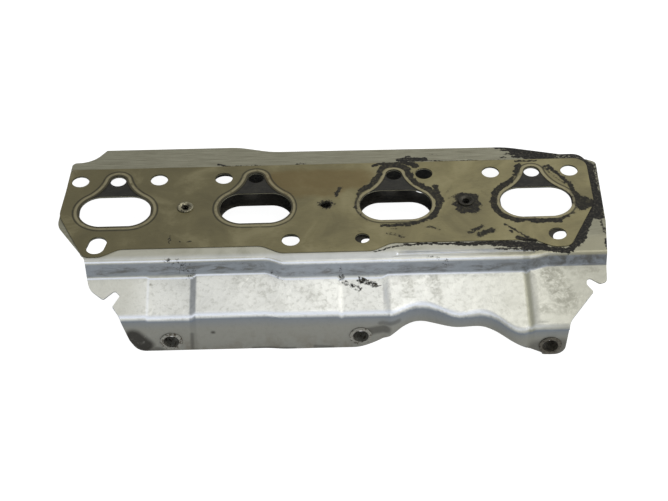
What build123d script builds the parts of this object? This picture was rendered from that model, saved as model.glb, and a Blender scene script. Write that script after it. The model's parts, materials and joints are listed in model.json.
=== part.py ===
from build123d import *
from math import atan2, cos, degrees, radians, sin, sqrt, tan
import os

# Exhaust manifold gasket for a row of four ports, with its heat shield in one sheet.
# The gasket lies in the XY plane while it is built: X runs along the ports, Y from the
# shield to the back edge, and Z = 0 is the top of the carrier sheet. At the end it is
# laid down as it rests, on the shield's front edge and the sagging lower layer.

# Sheet thicknesses
upper_thickness = 0.3
spacer_thickness = 0.3
shield_thickness = 0.6
lower_thickness = 0.3

# Ports
port_pitch = 84.0
port_count = 4
port_width = 42.5
port_height = 28.0
port_corner_radius = 12.5
nose_hole_y = 28.3
nose_hole_diameter = 9.6

# Teardrop openings of the upper layer, with a raised bead round each
opening_margin = 0.45
opening_side_flat = 0.5
opening_nose_radius = 5.0
opening_flank_radius = 30.0
bead_width = 2.6
bead_height = 0.5
bead_flank_angle = 50.0

# Stud holes
stud_hole_diameter = 10.6
back_row_y = 28.5
front_row_y = -30.3
front_slot_length = 15.5
front_slot_lean = 14.0
front_slot_shift = 0.8
locating_hole_diameter = 8.7

# Places of the stud holes along the row, each from the nearest port
outer_stud_offset = 23.0
inner_stud_offset = 25.0
middle_stud_offset = 18.3
odd_stud_offset = 19.6
front_outer_offset = 9.5
front_middle_offset = 21.0

# Tubular rivets between the ports
rivet_y = 1.2
rivet_hole_diameter = 6.4
rivet_clearance = 0.05
rivet_flange_diameter = 9.6
rivet_flange_height = 1.0
rivet_tail_diameter = 8.6
rivet_tail_height = 0.8
rivet_bore_diameter = 4.4
rivet_rim_width = 0.9
rivet_dish_floor = 0.2
torn_hole_diameter = 9.4

# Outline of the gasket layers
gasket_left_margin = 33.2
gasket_right_margin = 34.3
gasket_left_lean = 4.0
gasket_back_y = 40.0
gasket_front_y = -35.0
gasket_shoulder_y = -3.0
gasket_shoulder_radius = 14.0
gasket_corner_radius = 8.0
lobe_depth = 6.6
lobe_outer_reach = 6.5
lobe_inner_reach = 3.5
lobe_slope_run = 11.0
lobe_tip_radius = 6.5
lobe_slope_radius = 10.0
middle_lobe_half_width = 27.0
spacer_inset = 1.6

# Lower layer, sagging in the middle
lower_back_y = 46.0
lower_gap = 0.1
lower_stud_diameter = 13.0
lower_slot_margin = 2.5
lower_shift_x = 2.6
lower_shift_y = -1.6
lower_locating_diameter = 6.6
sag_depth = 8.9
sag_end_x = 107.0
sag_blend_x = 46.0
sag_front_y = -34.0
sag_blend_y = 38.0

# Carrier outline
carrier_left_overhang = 0.2
carrier_right_overhang = 6.1
carrier_back_y = 59.2
carrier_back_step = 5.2

# Pressed form of the shield
carrier_join_y = -38.0
steep_angle = 75.0
panel_angle = 12.0
panel_datum_y = -48.0
panel_drop = 9.7
fold_radius = 2.6
root_radius = 2.4
nosing_radius = 4.5
wall_reach = 52.0
wall_side_z = -19.5
wall_bottom_z = -42.6
wall_right_bottom_z = -38.3

# Levels of the panel along the shield, from its datum, and the fold and wall lines
left_end_level = -0.8
left_pad_level = -1.6
middle_pad_level = -0.5
right_level = 1.2
right_end_level = 2.0
crease_depth = 0.9
step_run = 2.0
fold_left_y = -45.3
fold_middle_y = -49.4
fold_right_y = -47.0
wall_left_y = -76.2
wall_middle_y = -77.2
wall_right_y = -91.4
left_pad_x = (-103.5, -78.5)
middle_pad_x = (7.5, 31.5)
right_crease_x = 115.5
fold_jog_x = (-37.0, -24.0)

# Line of the front wall along the wavy stretch, place along the row and depth
wave = [(35.0, -79.0), (41.0, -77.4), (48.0, -74.4), (54.0, -73.6), (64.0, -76.8), (73.0, -80.8)]
wave += [(81.0, -80.7), (89.0, -80.2), (97.0, -84.4), (104.0, -90.4), (109.5, -92.6), (113.5, -91.9)]
shield_end_margin = 8.6

# Groove pressed beside the fold
groove_x = (40.0, 121.0)
groove_y = -44.4
groove_width = 3.4
groove_depth = 1.1
groove_flank_angle = 45.0

# Eyelets in the shield's front wall
eyelet_hole_diameter = 8.9
eyelet_barrel_diameter = 10.2
eyelet_clearance = 0.1
eyelet_flange_diameter = 13.2
eyelet_flange_thickness = 0.8
eyelet_length = 9.2
eyelet_left_x = -91.3
eyelet_left_z = -35.3
eyelet_middle_x = 18.5
eyelet_middle_z = -33.6
eyelet_right_x = 126.5
eyelet_right_z = -31.2

# Heights that follow from the thicknesses
spacer_top = spacer_thickness
upper_top = spacer_top + upper_thickness
carrier_bottom = -shield_thickness

# Opening of the upper layer, a little wider than the ports
opening_width = port_width + 2 * opening_margin
opening_height = port_height + 2 * opening_margin
opening_corner_radius = (opening_height - opening_side_flat) / 2

# Places along the row that follow from the ports
inner_port_x = port_pitch / 2
outer_port_x = port_pitch * (port_count - 1) / 2
back_row_outer_x = outer_port_x + outer_stud_offset
back_row_inner_x = outer_port_x - inner_stud_offset
back_row_middle_x = inner_port_x + middle_stud_offset
back_row_odd_x = inner_port_x + odd_stud_offset
front_row_outer_x = outer_port_x + front_outer_offset
front_row_middle_x = inner_port_x - front_middle_offset
gasket_left_x = -outer_port_x - gasket_left_margin
gasket_right_x = outer_port_x + gasket_right_margin
carrier_left_x = gasket_left_x - carrier_left_overhang
carrier_right_x = gasket_right_x + carrier_right_overhang
shield_end_x = carrier_right_x + shield_end_margin

port_places = [(i * port_pitch - outer_port_x, 0) for i in range(port_count)]
stud_places = [
    (-back_row_outer_x, back_row_y),
    (-back_row_inner_x, back_row_y),
    (-back_row_odd_x, back_row_y),
    (back_row_middle_x, back_row_y),
    (back_row_inner_x, back_row_y),
    (back_row_outer_x, back_row_y),
    (-front_row_middle_x, front_row_y),
]
slot_place = (-front_row_outer_x + front_slot_shift, front_row_y - front_slot_shift)
rivet_places = [(-port_pitch, rivet_y), (0, rivet_y), (port_pitch, rivet_y)]


def smooth(t):
    # Rises from 0 to 1 with no corner at either end
    t = min(max(t, 0.0), 1.0)
    return t * t * (3 - 2 * t)


def teardrop(grow):
    # Port opening with a round nose above it, joined by flanks that touch both arcs
    corner_x = opening_width / 2 - opening_corner_radius
    corner_y = opening_height / 2 - opening_corner_radius
    corner_radius = opening_corner_radius + grow
    nose_radius = opening_nose_radius + grow
    flank_radius = opening_flank_radius - grow
    nose_reach = opening_nose_radius + opening_flank_radius
    corner_reach = opening_corner_radius + opening_flank_radius
    nose = Vector(0, nose_hole_y)
    corner = Vector(corner_x, corner_y)
    apart = (corner - nose).length
    along = (nose_reach**2 - corner_reach**2 + apart**2) / (2 * apart)
    aside = sqrt(nose_reach**2 - along**2)
    toward = (corner - nose).normalized()
    flank = nose + toward * along + Vector(-toward.Y, toward.X) * aside
    nose_end = flank + (nose - flank).normalized() * flank_radius
    corner_end = flank + (corner - flank).normalized() * flank_radius
    flank_middle = flank + ((nose_end + corner_end) * 0.5 - flank).normalized() * flank_radius
    side = corner + Vector(1, 0) * corner_radius
    side_middle = corner + ((corner_end + side) * 0.5 - corner).normalized() * corner_radius
    low_side = Vector(corner_x + corner_radius, -corner_y)
    low_end = Vector(corner_x, -corner_y - corner_radius)
    low_middle = Vector(corner_x, -corner_y) + Vector(1, -1).normalized() * corner_radius
    with BuildSketch() as outline:
        with BuildLine():
            ThreePointArc(Vector(-nose_end.X, nose_end.Y), nose + Vector(0, nose_radius), nose_end)
            right = [
                ThreePointArc(nose_end, flank_middle, corner_end),
                ThreePointArc(corner_end, side_middle, side),
                Line(side, low_side),
                ThreePointArc(low_side, low_middle, low_end),
            ]
            mirror(right, about=Plane.YZ)
            Line(low_end, Vector(-low_end.X, low_end.Y))
        make_face()
    return outline.sketch


def gasket_outline(back_y):
    # Straight back edge, cut front corners that end in lobes round the front studs
    lobe_y = gasket_front_y - lobe_depth
    lobe_out = front_row_outer_x + lobe_outer_reach
    lobe_in = front_row_outer_x - lobe_inner_reach
    slope_end = lobe_in - lobe_slope_run
    middle = middle_lobe_half_width
    slope = middle_lobe_half_width + lobe_slope_run
    corners = [
        ((gasket_left_x + gasket_left_lean, back_y), 2.0),
        ((gasket_right_x, back_y), gasket_corner_radius),
        ((gasket_right_x, gasket_shoulder_y), gasket_shoulder_radius),
        ((lobe_out, lobe_y), lobe_tip_radius),
        ((lobe_in, lobe_y), lobe_slope_radius),
        ((slope_end, gasket_front_y), lobe_slope_radius),
        ((slope, gasket_front_y), lobe_slope_radius),
        ((middle, lobe_y), lobe_slope_radius),
        ((-middle, lobe_y), lobe_slope_radius),
        ((-slope, gasket_front_y), lobe_slope_radius),
        ((-slope_end, gasket_front_y), lobe_slope_radius),
        ((-lobe_in, lobe_y), lobe_slope_radius),
        ((-lobe_out, lobe_y), lobe_tip_radius),
        ((gasket_left_x, gasket_shoulder_y), gasket_shoulder_radius),
    ]
    with BuildSketch() as outline:
        with BuildLine():
            FilletPolyline(*[c[0] for c in corners], radius=[c[1] for c in corners], close=True)
        make_face()
    return outline.sketch


def stud_holes(stud_diameter, locating_diameter, shift_x=0, shift_y=0):
    # Every stud hole of a layer, with the locating hole and the slot at the left corner
    with BuildSketch() as holes:
        with Locations(*stud_places):
            Circle(stud_diameter / 2)
        with Locations((front_row_outer_x + shift_x, front_row_y + shift_y)):
            Circle(stud_hole_diameter / 2)
        with Locations((front_row_middle_x + shift_x, front_row_y + shift_y)):
            Circle(locating_diameter / 2)
        with Locations(slot_place):
            SlotOverall(front_slot_length, stud_hole_diameter, rotation=90 - front_slot_lean)
    return holes.sketch


def port_holes(nose_places):
    # Every port, and the nose holes of the ports named
    with BuildSketch() as holes:
        with Locations(*port_places):
            RectangleRounded(port_width, port_height, port_corner_radius)
        with Locations(*[(x, y + nose_hole_y) for x, y in nose_places]):
            Circle(nose_hole_diameter / 2)
    return holes.sketch


def rivet_holes(diameter):
    with BuildSketch() as holes:
        with Locations(*rivet_places):
            Circle(diameter / 2)
    return holes.sketch


# Upper layer: the bead is pressed up from below, so the sheet keeps its thickness
bead_base = bead_width
bead_pocket_base = bead_width - upper_thickness * tan(radians(bead_flank_angle) / 2)
bead_top_cut = bead_height + upper_top

with BuildPart() as upper_layer:
    with BuildSketch(Plane.XY.offset(spacer_top)):
        add(gasket_outline(gasket_back_y))
    extrude(amount=upper_thickness)
    with BuildSketch(Plane.XY.offset(upper_top)):
        with Locations(*port_places):
            add(teardrop(bead_base))
    extrude(amount=bead_height, taper=bead_flank_angle)
    with BuildSketch(Plane.XY.offset(spacer_top)):
        with Locations(*port_places):
            add(teardrop(bead_pocket_base))
    extrude(amount=bead_height, taper=bead_flank_angle, mode=Mode.SUBTRACT)
    with BuildSketch(Plane.XY):
        with Locations(*port_places):
            add(teardrop(0))
        add(stud_holes(stud_hole_diameter, locating_hole_diameter))
        add(rivet_holes(rivet_hole_diameter))
    extrude(amount=bead_top_cut, mode=Mode.SUBTRACT)

# Spacer layer: a flat sheet a little smaller than the upper layer
with BuildPart() as spacer_layer:
    with BuildSketch(Plane.XY):
        add(gasket_outline(gasket_back_y))
        offset(amount=-spacer_inset, mode=Mode.REPLACE)
        add(port_holes(port_places), mode=Mode.SUBTRACT)
        add(stud_holes(stud_hole_diameter, locating_hole_diameter), mode=Mode.SUBTRACT)
        add(rivet_holes(rivet_hole_diameter), mode=Mode.SUBTRACT)
    extrude(amount=spacer_thickness)


def sag(x, y):
    # Droop of the lower layer: flat at both ends and at the front, low in the middle
    along = smooth((sag_end_x - abs(x)) / sag_blend_x)
    across = smooth((y - sag_front_y) / sag_blend_y)
    return sag_depth * along * across


lower_top = carrier_bottom - lower_gap
lower_slot_reach = lower_back_y - lower_slot_margin - back_row_y - lower_stud_diameter / 2
grid_columns = 37
grid_rows = 15
grid_margin = 8.0
grid_front_y = gasket_front_y - lobe_depth - grid_margin
grid_step_x = (gasket_right_x - gasket_left_x + 2 * grid_margin) / (grid_columns - 1)
grid_step_y = (lower_back_y + grid_margin - grid_front_y) / (grid_rows - 1)
grid_x = [gasket_left_x - grid_margin + i * grid_step_x for i in range(grid_columns)]
grid_y = [grid_front_y + j * grid_step_y for j in range(grid_rows)]
sagging_face = Face.make_surface_from_array_of_points(
    [[Vector(x, y, lower_top - sag(x, y)) for y in grid_y] for x in grid_x]
)

with BuildPart() as lower_layer:
    extrude(sagging_face, amount=lower_thickness, dir=(0, 0, -1))
    with BuildSketch(Plane.XY):
        add(gasket_outline(lower_back_y))
    extrude(amount=-sag_depth * 2, mode=Mode.INTERSECT)
    with BuildSketch(Plane.XY):
        add(port_holes(port_places[:1] + port_places[-1:]))
        add(stud_holes(lower_stud_diameter, lower_locating_diameter, lower_shift_x, lower_shift_y))
        add(rivet_holes(torn_hole_diameter))
        with Locations((-back_row_odd_x, back_row_y + lower_slot_reach / 2)):
            SlotOverall(lower_stud_diameter + lower_slot_reach, lower_stud_diameter, rotation=90)
    extrude(amount=-sag_depth * 2, mode=Mode.SUBTRACT)


# Shield: cross-sections in the YZ plane, one for each change along the row
def shield_section(x, fold_y, level, wall_y):
    # From the flat carrier over the fold, down the steep step, across the panel
    # and over the nosing into the front wall
    slope = tan(radians(panel_angle))
    steep_run = cos(radians(steep_angle))
    steep_fall = sin(radians(steep_angle))
    reach = (panel_drop - level - slope * (fold_y - panel_datum_y)) / (steep_fall - slope * steep_run)
    root = (fold_y - reach * steep_run, -reach * steep_fall)
    nosing = (wall_y, -panel_drop + level + slope * (wall_y - panel_datum_y))
    with BuildSketch(Plane.YZ.offset(x)) as section:
        with BuildLine():
            FilletPolyline(
                (carrier_join_y, 0),
                (fold_y, 0),
                root,
                nosing,
                (wall_y, -wall_reach),
                radius=[fold_radius, root_radius, nosing_radius],
            )
            offset(amount=shield_thickness, side=Side.LEFT)
        make_face()
    return section.sketch


# Stations along the row: place, fold line, panel level and wall line
pad_left, pad_right = left_pad_x
middle_left, middle_right = middle_pad_x
jog_left, jog_right = fold_jog_x
jog_parts = 4
end_jog_run = 12.0

left_flat = [
    (-shield_end_x, fold_left_y, left_end_level, wall_left_y),
    (pad_left - step_run, fold_left_y, left_end_level, wall_left_y),
    (pad_left, fold_left_y, left_pad_level, wall_left_y),
    (pad_right, fold_left_y, left_pad_level, wall_left_y),
    (pad_right + step_run, fold_left_y, 0, wall_left_y),
    (jog_left, fold_left_y, 0, wall_left_y),
]
fold_jog = []
for i in range(jog_parts + 1):
    share = i / jog_parts
    fold_jog.append((
        jog_left + (jog_right - jog_left) * share,
        fold_left_y + (fold_middle_y - fold_left_y) * smooth(share),
        0,
        wall_left_y + (wall_middle_y - wall_left_y) * smooth(share),
    ))
middle_flat = [
    (jog_right, fold_middle_y, 0, wall_middle_y),
    (middle_left - step_run, fold_middle_y, 0, wall_middle_y),
    (middle_left, fold_middle_y, middle_pad_level - crease_depth, wall_middle_y),
    (middle_left + step_run, fold_middle_y, middle_pad_level, wall_middle_y),
    (middle_right, fold_middle_y, middle_pad_level, wall_middle_y),
    (wave[0][0], fold_middle_y, right_level, wave[0][1]),
]
wave_run = [(x, fold_middle_y, right_level, y) for x, y in wave]
crease = [
    (wave[-1][0], fold_middle_y, right_level, wave[-1][1]),
    (right_crease_x, fold_middle_y, right_level - crease_depth, wall_right_y),
    (right_crease_x + step_run, fold_middle_y, right_end_level, wall_right_y),
]
end_jog = []
for i in range(jog_parts + 1):
    share = i / jog_parts
    end_jog.append((
        right_crease_x + step_run + end_jog_run * share,
        fold_middle_y + (fold_right_y - fold_middle_y) * smooth(share),
        right_end_level,
        wall_right_y,
    ))
right_flat = [end_jog[-1], (shield_end_x, fold_right_y, right_end_level, wall_right_y)]

straight_runs = [left_flat, middle_flat, crease, right_flat]
curved_runs = [fold_jog, wave_run, end_jog]

with BuildPart() as shield_form:
    for run in straight_runs:
        for start, end in zip(run, run[1:]):
            loft(sections=[shield_section(*start), shield_section(*end)], ruled=True)
    for run in curved_runs:
        loft(sections=[shield_section(*place) for place in run])

# Outline of the whole sheet in plan, back edge, side edges and the two hook notches
back_low_y = carrier_back_y - carrier_back_step
plan_corners = [
    ((-118.5, -100), 0),
    ((-118.5, -77), 6.0),
    ((-124.3, -67.9), 1.2),
    ((-120.2, -60.4), 1.5),
    ((-123.2, -56.6), 1.6),
    ((-129.8, -62.8), 1.4),
    ((-138.2, -55.5), 12.0),
    ((-141.4, -41.5), 6.0),
    ((carrier_left_x, -12.0), 13.0),
    ((carrier_left_x + gasket_left_lean, 47.5), 3.2),
    ((-143.5, 47.3), 16.5),
    ((-135.0, carrier_back_y), 0.8),
    ((-53.0, carrier_back_y), 40.0),
    ((-33.0, back_low_y), 40.0),
    ((112.0, back_low_y - 0.6), 50.0),
    ((152.0, 43.4), 60.0),
    ((carrier_right_x, 36.6), 4.0),
    ((carrier_right_x - 1.2, -20.0), 60.0),
    ((162.9, -43.0), 30.0),
    ((161.4, -61.0), 3.0),
    ((157.0, -62.4), 2.0),
    ((150.2, -57.4), 1.7),
    ((149.4, -62.6), 3.0),
    ((152.9, -67.8), 1.2),
    ((137.4, -88.0), 12.0),
    ((135.6, -100), 0),
]

# Lower edge of the front wall, seen from the front
wall_edge = [(14.0, wall_bottom_z), (24.0, -40.0), (32.5, -35.0), (41.0, -28.6), (50.0, -26.3), (61.0, -26.6)]
wall_edge += [(73.0, -25.0), (84.0, -25.1), (94.0, -26.4), (102.0, -27.2), (109.0, -29.4)]
wall_edge += [(116.0, -33.6), (122.0, -37.0), (128.0, wall_right_bottom_z)]

eyelet_places = {
    "left": (eyelet_left_x, wall_left_y, eyelet_left_z),
    "middle": (eyelet_middle_x, wall_middle_y, eyelet_middle_z),
    "right": (eyelet_right_x, wall_right_y, eyelet_right_z),
}

with BuildPart() as shield_plate:
    with BuildSketch(Plane.XY):
        with BuildLine():
            Polyline(
                (-shield_end_x, carrier_join_y),
                (shield_end_x, carrier_join_y),
                (shield_end_x, carrier_back_y + 5),
                (-shield_end_x, carrier_back_y + 5),
                close=True,
            )
        make_face()
    extrude(amount=-shield_thickness)
    add(shield_form.part)
    with BuildSketch(Plane.XY.offset(1)):
        with BuildLine():
            FilletPolyline(*[c[0] for c in plan_corners], radius=[c[1] for c in plan_corners], close=True)
        make_face()
    extrude(amount=-wall_reach - 10, mode=Mode.INTERSECT)
    with BuildSketch(Plane.XZ):
        with BuildLine():
            FilletPolyline(
                (-shield_end_x, wall_side_z),
                (-119.2, wall_side_z),
                (-115.4, -34.0),
                (-110.8, wall_bottom_z),
                wall_edge[0],
                radius=[0, 14.0, 8.0],
            )
            Spline(*wall_edge, tangents=[(1, 0), (1, 0)])
            FilletPolyline(
                wall_edge[-1],
                (135.0, wall_right_bottom_z),
                (136.6, wall_side_z),
                (shield_end_x, wall_side_z),
                (shield_end_x, -wall_reach - 5),
                (-shield_end_x, -wall_reach - 5),
                (-shield_end_x, wall_side_z),
                radius=[6.5, 0, 0, 0, 0],
            )
        make_face()
    extrude(amount=-plan_corners[0][0][1], mode=Mode.SUBTRACT)
    # Groove along the right-hand stretch of the fold, pressed down with its wall kept
    groove_wall = shield_thickness / sin(radians(groove_flank_angle))
    groove_length = groove_x[1] - groove_x[0]
    groove_middle = (groove_x[0] + groove_x[1]) / 2
    downward = Plane(origin=(0, 0, 0), x_dir=(1, 0, 0), z_dir=(0, 0, -1))
    with BuildSketch(downward):
        with Locations((groove_middle, -groove_y)):
            SlotOverall(groove_length + 2 * groove_wall, groove_width + 2 * groove_wall)
    extrude(amount=groove_depth + shield_thickness, taper=groove_flank_angle)
    with BuildSketch(downward):
        with Locations((groove_middle, -groove_y)):
            SlotOverall(groove_length, groove_width)
    extrude(amount=groove_depth, taper=groove_flank_angle, mode=Mode.SUBTRACT)
    with BuildSketch(Plane.XY):
        add(port_holes(port_places))
        add(stud_holes(stud_hole_diameter, locating_hole_diameter))
        add(rivet_holes(rivet_hole_diameter))
    extrude(amount=-shield_thickness, mode=Mode.SUBTRACT)
    with BuildSketch(Plane.XZ):
        with Locations(*[(x, z) for x, y, z in eyelet_places.values()]):
            Circle(eyelet_barrel_diameter / 2 + eyelet_clearance)
    extrude(amount=-plan_corners[0][0][1], mode=Mode.SUBTRACT)


def tubular_rivet(x, y):
    # Flared tube that holds the upper layer, the spacer and the carrier together
    bore = rivet_bore_diameter / 2
    shank = rivet_hole_diameter / 2 - rivet_clearance
    tail = rivet_tail_diameter / 2
    flange = rivet_flange_diameter / 2
    low = carrier_bottom - rivet_tail_height
    high = upper_top + rivet_flange_height
    tail_round = rivet_tail_height * 0.7
    rim_round = rivet_rim_width * 0.5
    lip_round = rivet_rim_width * 0.2
    with BuildPart() as rivet:
        with BuildSketch(Plane(origin=(x, y, 0), x_dir=(1, 0, 0), z_dir=(0, -1, 0))):
            with BuildLine():
                FilletPolyline(
                    (bore, low),
                    (tail, low),
                    (tail, carrier_bottom),
                    (shank, carrier_bottom),
                    (shank, upper_top),
                    (flange, upper_top),
                    (flange, high),
                    (flange - rivet_rim_width, high),
                    (bore, upper_top + rivet_dish_floor),
                    radius=[0, tail_round, 0, 0, 0, 0, rim_round, lip_round, 0],
                    close=True,
                )
            make_face()
        revolve(axis=Axis((x, y, 0), (0, 0, 1)))
    return rivet


def wall_eyelet(x, y, z):
    # Flanged steel sleeve through the front wall, with a collar behind the sheet
    bore = eyelet_hole_diameter / 2
    barrel = eyelet_barrel_diameter / 2
    flange = eyelet_flange_diameter / 2
    front = -eyelet_flange_thickness
    back = shield_thickness + eyelet_flange_thickness
    end = front + eyelet_length
    round_over = eyelet_flange_thickness * 0.6
    with BuildPart() as eyelet:
        with BuildSketch(Plane(origin=(x, y, z), x_dir=(1, 0, 0), z_dir=(0, 0, 1))):
            with BuildLine():
                FilletPolyline(
                    (bore, front),
                    (flange, front),
                    (flange, 0),
                    (barrel, 0),
                    (barrel, shield_thickness),
                    (flange, shield_thickness),
                    (flange, back),
                    (barrel, back),
                    (barrel, end),
                    (bore, end),
                    radius=[round_over, round_over, 0, 0, 0, 0, round_over, 0, 0, 0],
                    close=True,
                )
            make_face()
        revolve(axis=Axis((x, y, z), (0, 1, 0)))
    return eyelet


rivet_left = tubular_rivet(*rivet_places[0])
rivet_right = tubular_rivet(*rivet_places[2])
eyelet_left = wall_eyelet(*eyelet_places["left"])
eyelet_middle = wall_eyelet(*eyelet_places["middle"])
eyelet_right = wall_eyelet(*eyelet_places["right"])

# Resting pose: tipped about X so that the front wall's lower edge and the back edge
# of the sagging layer touch the ground, then centred over the origin
front_foot_y = wall_left_y + shield_thickness
back_foot_z = lower_top - sag_depth - lower_thickness
tilt = degrees(atan2(back_foot_z - wall_bottom_z, lower_back_y - front_foot_y))

pieces = {
    "upper_layer": upper_layer,
    "spacer_layer": spacer_layer,
    "shield_plate": shield_plate,
    "lower_layer": lower_layer,
    "rivet_left": rivet_left,
    "rivet_right": rivet_right,
    "eyelet_left": eyelet_left,
    "eyelet_middle": eyelet_middle,
    "eyelet_right": eyelet_right,
}
for piece in pieces.values():
    piece.part.move(Location((0, 0, 0), (-tilt, 0, 0)))
boxes = [piece.part.bounding_box() for piece in pieces.values()]
low = Vector(*[min(getattr(box.min, axis) for box in boxes) for axis in "XYZ"])
high = Vector(*[max(getattr(box.max, axis) for box in boxes) for axis in "XYZ"])
shift = Vector(-(low.X + high.X) / 2, -(low.Y + high.Y) / 2, -low.Z)
for piece in pieces.values():
    piece.part.move(Location(shift))
print(f"tilt {tilt:.3f} degrees, gasket frame at {shift.X:.3f} {shift.Y:.3f} {shift.Z:.3f}")

os.makedirs("parts", exist_ok=True)
for name, piece in pieces.items():
    piece.part.label = name
    export_step(piece.part, f"parts/{name}.step")
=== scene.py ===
import json
import math

import bpy
from mathutils import Euler, Matrix, Vector


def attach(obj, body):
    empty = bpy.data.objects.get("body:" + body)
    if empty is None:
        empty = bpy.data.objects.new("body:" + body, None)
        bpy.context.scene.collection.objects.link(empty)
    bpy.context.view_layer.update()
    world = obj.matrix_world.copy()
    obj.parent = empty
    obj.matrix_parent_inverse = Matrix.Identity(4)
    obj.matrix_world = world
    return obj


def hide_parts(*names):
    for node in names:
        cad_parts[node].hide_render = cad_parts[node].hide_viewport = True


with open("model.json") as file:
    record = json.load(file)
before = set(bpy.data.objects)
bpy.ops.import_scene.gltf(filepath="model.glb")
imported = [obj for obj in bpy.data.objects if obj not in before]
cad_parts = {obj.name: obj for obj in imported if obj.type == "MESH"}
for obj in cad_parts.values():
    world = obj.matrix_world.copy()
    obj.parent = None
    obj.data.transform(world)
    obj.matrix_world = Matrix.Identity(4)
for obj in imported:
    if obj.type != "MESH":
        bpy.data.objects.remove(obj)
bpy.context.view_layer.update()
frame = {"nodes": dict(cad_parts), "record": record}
scene = bpy.context.scene
record = frame["record"]


# The gasket's own plane, worked out from the stud holes: X along the ports, Y to the back edge
mounts = {mount["name"]: mount for mount in record["mounts"]}
gasketAxis = Vector(mounts["stud_hole_1"]["axis"])
gasketTilt = math.atan2(gasketAxis.y, gasketAxis.z)
backRowDistance = 0.0285
backRowCentre = (Vector(mounts["stud_hole_1"]["pos_m"]) + Vector(mounts["stud_hole_6"]["pos_m"])) / 2
gasketTurn = Euler((-gasketTilt, 0, 0)).to_matrix()
gasketOrigin = backRowCentre - gasketTurn @ Vector((0, backRowDistance, 0))


def toWorld(x, y, z):
    return gasketOrigin + gasketTurn @ (Vector((x, y, z)) / 1000)


def tint(red, green, blue):
    values = []
    for part in (red, green, blue):
        share = part / 255
        values.append(share / 12.92 if share <= 0.04045 else ((share + 0.055) / 1.055) ** 2.4)
    return (*values, 1.0)


# Camera at the photograph's place over the gasket's plane
cameraSettings = {
    "elevation": 41.243,
    "yaw": -0.357,
    "roll": -1.143,
    "distance": 1054.31,
    "target": (4.195, -40.118, 0),
    "focalPixels": 1811.69,
    "imageWidth": 668,
    "sensorWidth": 36.0,
}


def makeCamera(settings):
    elevation = math.radians(settings["elevation"])
    yaw = math.radians(settings["yaw"])
    roll = math.radians(settings["roll"])
    back = Vector((
        math.sin(yaw) * math.cos(elevation),
        -math.cos(yaw) * math.cos(elevation),
        math.sin(elevation),
    ))
    right = (-back).cross(Vector((0, 0, 1))).normalized()
    up = right.cross(-back)
    sideAxis = right * math.cos(roll) + up * math.sin(roll)
    upAxis = up * math.cos(roll) - right * math.sin(roll)
    place = Vector(settings["target"]) + back * settings["distance"]
    turn = gasketTurn @ Matrix((sideAxis, upAxis, back)).transposed()
    bpy.ops.object.camera_add(location=toWorld(*place), rotation=turn.to_euler())
    camera = bpy.context.object
    camera.name = "photoCamera"
    camera.data.sensor_width = settings["sensorWidth"]
    camera.data.lens = settings["focalPixels"] / settings["imageWidth"] * settings["sensorWidth"]
    camera.data.clip_start = 0.05
    camera.data.clip_end = 30
    scene.camera = camera


makeCamera(cameraSettings)
print("camera made")


# Node building
def putNode(tree, kind, settings=None, inputs=None):
    node = tree.nodes.new(kind)
    for name, value in (settings or {}).items():
        setattr(node, name, value)
    for name, value in (inputs or {}).items():
        socket = node.inputs[name]
        if isinstance(value, bpy.types.NodeSocket):
            tree.links.new(value, socket)
        else:
            socket.default_value = value
    return node


def calc(tree, operation, *values):
    node = putNode(tree, "ShaderNodeMath", {"operation": operation}, dict(enumerate(values)))
    return node.outputs[0]


def plus(tree, first, second):
    return calc(tree, "ADD", first, second)


def minus(tree, first, second):
    return calc(tree, "SUBTRACT", first, second)


def times(tree, first, second):
    return calc(tree, "MULTIPLY", first, second)


def larger(tree, first, second):
    return calc(tree, "MAXIMUM", first, second)


def smaller(tree, first, second):
    return calc(tree, "MINIMUM", first, second)


def vectorCalc(tree, operation, *values):
    node = putNode(tree, "ShaderNodeVectorMath", {"operation": operation}, dict(enumerate(values)))
    return node.outputs["Value" if operation in ("DOT_PRODUCT", "LENGTH") else "Vector"]


def rampDown(tree, value, start, end):
    node = putNode(
        tree,
        "ShaderNodeMapRange",
        {"interpolation_type": "SMOOTHSTEP"},
        {"Value": value, "From Min": start, "From Max": end, "To Min": 1.0, "To Max": 0.0},
    )
    return node.outputs["Result"]


def rampUp(tree, value, start, end):
    return minus(tree, 1.0, rampDown(tree, value, start, end))


def band(tree, value, centre, halfWidth, soft):
    away = calc(tree, "ABSOLUTE", minus(tree, value, centre))
    return rampDown(tree, away, halfWidth - soft, halfWidth + soft)


def blend(tree, mask, first, second):
    node = putNode(tree, "ShaderNodeMix", {"data_type": "RGBA"})
    for index, value in ((0, mask), (6, first), (7, second)):
        socket = node.inputs[index]
        if isinstance(value, bpy.types.NodeSocket):
            tree.links.new(value, socket)
        else:
            socket.default_value = value
    return node.outputs[2]


def noise(tree, place, scale, detail=4.0, roughness=0.55, distortion=0.0):
    node = putNode(
        tree,
        "ShaderNodeTexNoise",
        {"noise_dimensions": "3D"},
        {"Vector": place, "Scale": scale, "Detail": detail, "Roughness": roughness, "Distortion": distortion},
    )
    return node.outputs["Fac"]


def stretched(tree, place, x, y, z):
    return vectorCalc(tree, "MULTIPLY", place, (x, y, z))


def newGroup(name, inputs, outputs):
    tree = bpy.data.node_groups.new(name, "ShaderNodeTree")
    for socketName, kind in inputs:
        tree.interface.new_socket(name=socketName, in_out="INPUT", socket_type=kind)
    for socketName, kind in outputs:
        tree.interface.new_socket(name=socketName, in_out="OUTPUT", socket_type=kind)
    source = tree.nodes.new("NodeGroupInput")
    sink = tree.nodes.new("NodeGroupOutput")
    return tree, source, sink


def useGroup(tree, group, inputs=None):
    node = tree.nodes.new("ShaderNodeGroup")
    node.node_tree = group
    for name, value in (inputs or {}).items():
        if isinstance(value, bpy.types.NodeSocket):
            tree.links.new(value, node.inputs[name])
        else:
            node.inputs[name].default_value = value
    return node


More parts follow.
